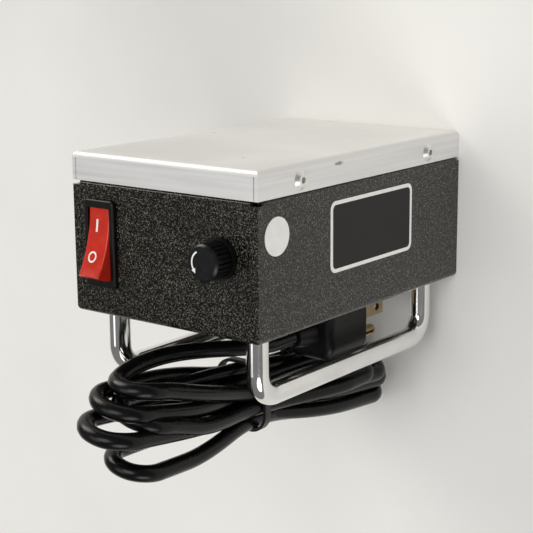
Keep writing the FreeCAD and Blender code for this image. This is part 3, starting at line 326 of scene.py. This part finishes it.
wrinkle_paint, tree, shader = material("black_paint")
worms = grain(tree, 2000.0, detail=1.0, distortion=1.0, turn=(0.5, 0.35, 0.6))
speckle = ramp(
    tree,
    worms,
    [
        (0.0, (0.0008, 0.0008, 0.0008)),
        (0.55, (0.0015, 0.0014, 0.0012)),
        (0.60, (0.066, 0.060, 0.046)),
        (0.67, (0.17, 0.157, 0.122)),
    ],
)
tree.links.new(speckle, shader.inputs["Base Color"])
sheen = grain(tree, 500.0, detail=3.0)
haze = ramp(tree, sheen, [(0.3, grey(0.12)), (0.7, grey(0.24))])
tree.links.new(haze, shader.inputs["Roughness"])
shader.inputs["Specular IOR Level"].default_value = 0.12
bump(tree, shader, worms, height=0.00012, strength=0.8)
shader.inputs["Coat Weight"].default_value = 0.5
shader.inputs["Coat Roughness"].default_value = 0.08
bump(tree, shader, worms, height=0.00005, strength=0.7, socket="Coat Normal")
paint(wrinkle_paint, "tray")

# Core. A stack of E-shaped steel laminations, edge on along X, with three poles towards the cover.
# Two bolts clamp it between zinc plated steel angles, and four screws and nuts hold their feet to
# the tray.
laminations = surface(
    "lamination_steel", dull=(0.07, 0.07, 0.08), bright=(0.24, 0.24, 0.25),
    rough=(0.40, 0.60), scale=2000.0, height=0.00005, metal=1.0, stretch=(1.0, 0.002, 0.002),
)
paint(laminations, "core_stack")
zinc = surface(
    "zinc_steel", dull=(0.46, 0.47, 0.49), bright=(0.60, 0.60, 0.58),
    rough=(0.30, 0.48), scale=250.0, height=0.00001, metal=1.0,
)
paint(zinc, "core_bracket_left", "core_bracket_right", "core_bolts", "core_nuts")
paint(zinc, "foot_screws", "foot_nuts")

# Coil. Copper wire wound in even layers on a moulded nylon former, which slides over the core's
# centre leg. A wrap of yellow tape covers it.
former_nylon = surface(
    "bobbin_nylon", dull=(0.64, 0.60, 0.46), bright=(0.74, 0.70, 0.57),
    rough=(0.42, 0.55), scale=120.0, height=0.00002,
)
paint(former_nylon, "coil_bobbin")
copper = surface(
    "winding_copper", dull=(0.38, 0.14, 0.05), bright=(0.56, 0.24, 0.10),
    rough=(0.24, 0.36), scale=1600.0, height=0.0001, metal=1.0, stretch=(0.02, 1.0, 0.02),
)
paint(copper, "coil_winding")
tape = surface(
    "coil_tape", dull=(0.56, 0.42, 0.10), bright=(0.70, 0.56, 0.18),
    rough=(0.28, 0.40), scale=200.0, height=0.00002,
)
paint(tape, "coil_tape")

# Handles. Two lengths of 8 mm steel bar, each bent into a U and brightly chromed, with faint smears.
# Zinc plated screws with washers go from inside the tray into their tapped ends.
chrome = surface(
    "handle_chrome", dull=(0.78, 0.77, 0.75), bright=(0.86, 0.85, 0.83),
    rough=(0.08, 0.17), scale=90.0, height=0.000004, metal=1.0,
)
paint(chrome, "handle_left", "handle_right")
paint(zinc, "handle_screws", "handle_washers")

# Rocker switch. A satin black moulded bezel, 14.6 x 32 mm, set in the panel, and a glossy red rocker
# on two pins, over brass contacts. A white line at the cover's end and a white ring at the handles'
# end are printed on the rocker's hollowed face.
black_plastic = surface(
    "black_moulding", dull=(0.0015, 0.0014, 0.0012), bright=(0.003, 0.0028, 0.0025),
    rough=(0.30, 0.40), scale=700.0, height=0.00002, gloss=0.3,
)
paint(black_plastic, "switch_housing")
red_plastic = surface(
    "red_rocker", dull=(0.52, 0.018, 0.006), bright=(0.62, 0.028, 0.010),
    rough=(0.20, 0.27), scale=200.0, height=0.000006,
)
shader = red_plastic.node_tree.nodes["Principled BSDF"]
shader.inputs["Subsurface Weight"].default_value = 0.25
shader.inputs["Subsurface Radius"].default_value = (0.005, 0.0006, 0.0004)
shader.inputs["Coat Weight"].default_value = 0.2
paint(red_plastic, "rocker")
brass = surface(
    "contact_brass", dull=(0.44, 0.33, 0.18), bright=(0.60, 0.47, 0.28),
    rough=(0.24, 0.40), scale=300.0, height=0.000008, metal=1.0,
)
paint(brass, "contact_lever", "switch_terminals")
white_ink = surface(
    "white_mark", dull=(0.86, 0.85, 0.82), bright=(0.92, 0.91, 0.88),
    rough=(0.42, 0.55), scale=300.0, height=0.000006,
)


def inlay_nodes():
    """Drops flat faces on to another object's surface and gives them a thickness outwards."""
    tree = bpy.data.node_groups.new("inlay", "GeometryNodeTree")
    for name, kind in (
        ("Geometry", "Geometry"), ("Surface", "Object"), ("Outward", "Vector"),
        ("Lift", "Float"), ("Thickness", "Float"), ("Finish", "Material"),
    ):
        tree.interface.new_socket(name, in_out="INPUT", socket_type="NodeSocket" + kind)
    tree.interface.new_socket("Geometry", in_out="OUTPUT", socket_type="NodeSocketGeometry")

    def join(source, output, target, entry):
        tree.links.new(source.outputs[output], target.inputs[entry])

    given = node(tree, "NodeGroupInput")
    carrier = node(tree, "GeometryNodeObjectInfo")
    join(given, "Surface", carrier, "Object")
    inward = node(tree, "ShaderNodeVectorMath", operation="SCALE", scale=-1.0)
    join(given, "Outward", inward, 0)
    drop = node(tree, "GeometryNodeRaycast")
    join(carrier, "Geometry", drop, "Target Geometry")
    join(inward, 0, drop, "Ray Direction")
    raised = node(tree, "ShaderNodeVectorMath", operation="MULTIPLY_ADD")
    join(given, "Outward", raised, 0)
    join(given, "Lift", raised, 1)
    join(drop, "Hit Position", raised, 2)
    welded = node(tree, "GeometryNodeMergeByDistance", distance=0.001 * MM)
    join(given, "Geometry", welded, "Geometry")
    laid = node(tree, "GeometryNodeSetPosition")
    join(welded, "Geometry", laid, "Geometry")
    join(raised, 0, laid, "Position")
    thick = node(tree, "GeometryNodeExtrudeMesh", mode="FACES", individual=False)
    join(laid, "Geometry", thick, "Mesh")
    join(given, "Outward", thick, "Offset")
    join(given, "Thickness", thick, "Offset Scale")
    underside = node(tree, "GeometryNodeFlipFaces")
    join(laid, "Geometry", underside, "Mesh")
    both = node(tree, "GeometryNodeJoinGeometry")
    join(thick, "Mesh", both, "Geometry")
    join(underside, "Mesh", both, "Geometry")
    closed = node(tree, "GeometryNodeMergeByDistance", distance=0.001 * MM)
    join(both, "Geometry", closed, "Geometry")
    real = node(tree, "GeometryNodeRealizeInstances")
    join(closed, "Geometry", real, "Geometry")
    dressed = node(tree, "GeometryNodeSetMaterial")
    join(real, "Geometry", dressed, "Geometry")
    join(given, "Finish", dressed, "Material")
    join(dressed, "Geometry", node(tree, "NodeGroupOutput"), "Geometry")
    return tree


inlay = inlay_nodes()
drop_height = 0.02
x_way = (1, 0, 0)
y_way = (0, 1, 0)
z_way = (0, 0, 1)


def mark(name, finish, faces, carrier, origin, across, along, lift, thick, body):
    """A thin plate on a CAD node. Its faces are lists of (across, along) about the origin, in mm as
    the lift and the thickness are. They start a drop's height above the origin, and the inlay tree
    lays them on the node and makes them one plain mesh."""
    across = Vector(across)
    along = Vector(along)
    outward = across.cross(along)
    middle = Vector(origin) + outward * drop_height
    corners = []
    outlines = []
    for face in faces:
        outlines.append(range(len(corners), len(corners) + len(face)))
        corners += [middle + across * u * MM + along * v * MM for u, v in face]
    flat = bpy.data.meshes.new(name)
    flat.from_pydata(corners, [], outlines)
    made = bpy.data.objects.new(name, flat)
    bpy.context.scene.collection.objects.link(made)
    laying = made.modifiers.new("inlay", "NODES")
    laying.node_group = inlay
    values = {
        "Surface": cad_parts[carrier], "Outward": outward, "Lift": lift * MM,
        "Thickness": thick * MM, "Finish": finish,
    }
    for socket in inlay.interface.items_tree:
        if socket.in_out == "INPUT" and socket.name in values:
            laying[socket.identifier] = values[socket.name]
    shown = made.evaluated_get(bpy.context.evaluated_depsgraph_get())
    plate = bpy.data.meshes.new_from_object(shown)
    made.modifiers.clear()
    made.data = plate
    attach(made, body)
    return made


def line_faces(length, width, count):
    """Rectangles, one after another along a straight line about its middle."""
    faces = []
    for index in range(count):
        start = between(-length / 2, length / 2, index / count)
        end = between(-length / 2, length / 2, (index + 1) / count)
        faces.append(
            [(-width / 2, start), (width / 2, start), (width / 2, end), (-width / 2, end)]
        )
    return faces


def ring_faces(radius, width, first, last, count):
    """Four-cornered pieces of a flat ring between two angles in degrees."""
    inner = radius - width / 2
    outer = radius + width / 2
    faces = []
    for index in range(count):
        start = math.radians(between(first, last, index / count))
        end = math.radians(between(first, last, (index + 1) / count))
        faces.append(
            [
                (inner * math.cos(start), inner * math.sin(start)),
                (outer * math.cos(start), outer * math.sin(start)),
                (outer * math.cos(end), outer * math.sin(end)),
                (inner * math.cos(end), inner * math.sin(end)),
            ]
        )
    return faces


rocker_low, rocker_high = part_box("rocker")
mark_x = (rocker_low[0] + rocker_high[0]) / 2 + 0.0008
line_y = -0.0175
ring_y = -0.0065
rocker_face_z = 0.13
on_line = mark(
    "rocker_line", white_ink, line_faces(length=4.5, width=0.9, count=6), "rocker",
    (mark_x, line_y, rocker_face_z), x_way, y_way, lift=0.02, thick=0.06, body="rocker",
)
off_ring = mark(
    "rocker_ring", white_ink, ring_faces(radius=1.65, width=0.62, first=0, last=360, count=28),
    "rocker", (mark_x, ring_y, rocker_face_z), x_way, y_way, lift=0.02, thick=0.06, body="rocker",
)

# Fuse holder. A black moulded barrel that a nut clamps in the panel, with brass contacts and a glass
# fuse inside. Its blue-black screw cap has a ribbed edge, and a white curved arrow printed on top
# shows which way it turns.
paint(black_plastic, "fuse_holder", "fuse_nut")
paint(brass, "fuse_terminals")
nickel = surface(
    "nickel", dull=(0.60, 0.58, 0.54), bright=(0.72, 0.70, 0.66),
    rough=(0.18, 0.30), scale=300.0, height=0.000006, metal=1.0,
)
paint(nickel, "fuse_ends")
glass = surface(
    "fuse_glass", dull=(0.88, 0.93, 0.93), bright=(0.94, 0.97, 0.97),
    rough=(0.03, 0.07), scale=200.0, height=0.000002,
)
glass.node_tree.nodes["Principled BSDF"].inputs["Transmission Weight"].default_value = 1.0
paint(glass, "fuse_glass")
cap_plastic = surface(
    "fuse_cap_black", dull=(0.0025, 0.0028, 0.0034), bright=(0.005, 0.0054, 0.006),
    rough=(0.26, 0.36), scale=600.0, height=0.00002, gloss=0.3,
)
paint(cap_plastic, "fuse_cap")
cap_low, cap_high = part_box("fuse_cap")
cap_x = (cap_low[0] + cap_high[0]) / 2
cap_y = (cap_low[1] + cap_high[1]) / 2
cap_top_z = 0.14
arrow_bow = ring_faces(radius=4.2, width=0.6, first=-62, last=32, count=14)
arrow_head = [(2.75, 1.75), (4.35, 2.65), (2.75, 3.65)]
turn_arrow = mark(
    "fuse_arrow", white_ink, arrow_bow + [arrow_head], "fuse_cap", (cap_x, cap_y, cap_top_z),
    x_way, y_way, lift=0.02, thick=0.05, body="fuse_cap",
)

# Strain relief, tie and plug. A matt rubber bush with a tapered sleeve round the cord sits in the
# tray's wall. A moulded band holds the hank at its waist, and a black plug with brass prongs is
# moulded on the cord's end.
rubber = surface(
    "relief_rubber", dull=grey(0.003), bright=grey(0.006),
    rough=(0.50, 0.68), scale=500.0, height=0.00004, gloss=0.3,
)
paint(rubber, "strain_relief")
band_plastic = surface(
    "tie_plastic", dull=grey(0.006), bright=grey(0.010),
    rough=(0.34, 0.46), scale=600.0, height=0.00002,
)
paint(band_plastic, "cord_tie")
plug_plastic = surface(
    "plug_moulding", dull=grey(0.0025), bright=grey(0.005),
    rough=(0.34, 0.46), scale=450.0, height=0.00004, gloss=0.25,
)
paint(plug_plastic, "plug_body")
paint(brass, "plug_prongs")

# Pole cover and rivets. Bare aluminium, 1.5 mm thick, folded down over the tray's rim: satin, with
# faint draw marks along the lips and a few dark nicks. Four blind rivets, bright low domes 7 mm
# across, hold its long lips.
satin = surface(
    "cover_aluminium", dull=(0.75, 0.745, 0.735), bright=(0.84, 0.835, 0.825),
    rough=(0.42, 0.54), scale=700.0, height=0.000008, metal=0.6, stretch=(0.03, 1.0, 0.03),
)
tree = satin.node_tree
shader = tree.nodes["Principled BSDF"]
drawn = shader.inputs["Base Color"].links[0].from_socket
nicks = ramp(
    tree,
    grain(tree, 210.0, detail=3.0, stretch=(0.6, 1.0, 0.35)),
    [(0.70, grey(1.0)), (0.74, (0.42, 0.38, 0.34))],
)
worn = node(tree, "ShaderNodeMix", data_type="RGBA", blend_type="MULTIPLY", factor=1.0)
tree.links.new(drawn, worn.inputs["A"])
tree.links.new(nicks, worn.inputs["B"])
tree.links.new(worn.outputs["Result"], shader.inputs["Base Color"])
paint(satin, "pole_cover")
rivet_metal = surface(
    "rivet_metal", dull=(0.74, 0.72, 0.69), bright=(0.84, 0.83, 0.80),
    rough=(0.26, 0.38), scale=900.0, height=0.00002, metal=0.85,
)
paint(rivet_metal, "cover_rivets")

# Round sticker and label. A white disc, 13.4 mm across, and a black label, 53 x 26 mm, with a white
# frame. Both are plain foil, stuck on the long side of the tray.


def rounded(half_across, half_along, radius, steps=6):
    """The outline of a rounded rectangle about its own middle, in mm."""
    points = []
    for corner, (side, end) in enumerate(((1, 1), (-1, 1), (-1, -1), (1, -1))):
        for index in range(steps + 1):
            angle = math.radians(90 * corner + 90 * index / steps)
            points.append(
                (
                    side * (half_across - radius) + radius * math.cos(angle),
                    end * (half_along - radius) + radius * math.sin(angle),
                )
            )
    return points


label_black = surface(
    "label_black", dull=(0.003, 0.0028, 0.0026), bright=(0.006, 0.0056, 0.0052),
    rough=(0.32, 0.42), scale=250.0, height=0.000006, gloss=0.25,
)
side_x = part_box("tray")[0][0]
disc_middle = (side_x, -0.01995, 0.11905)
label_middle = (side_x, -0.01415, 0.0616)
foil = 0.12
print_depth = 0.03
disc_outline = rounded(half_across=6.7, half_along=6.7, radius=6.69, steps=10)
frame_outline = rounded(half_across=26.6, half_along=12.9, radius=3.0)
field_outline = rounded(half_across=25.2, half_along=11.5, radius=1.8)
disc = mark(
    "round_sticker", white_ink, [disc_outline], "tray", disc_middle,
    z_way, y_way, lift=0.0, thick=foil, body="housing",
)
border = mark(
    "label_frame", white_ink, [frame_outline], "tray", label_middle,
    z_way, y_way, lift=0.0, thick=foil, body="housing",
)
field = mark(
    "label_field", label_black, [field_outline], "tray", label_middle,
    z_way, y_way, lift=foil, thick=print_depth, body="housing",
)
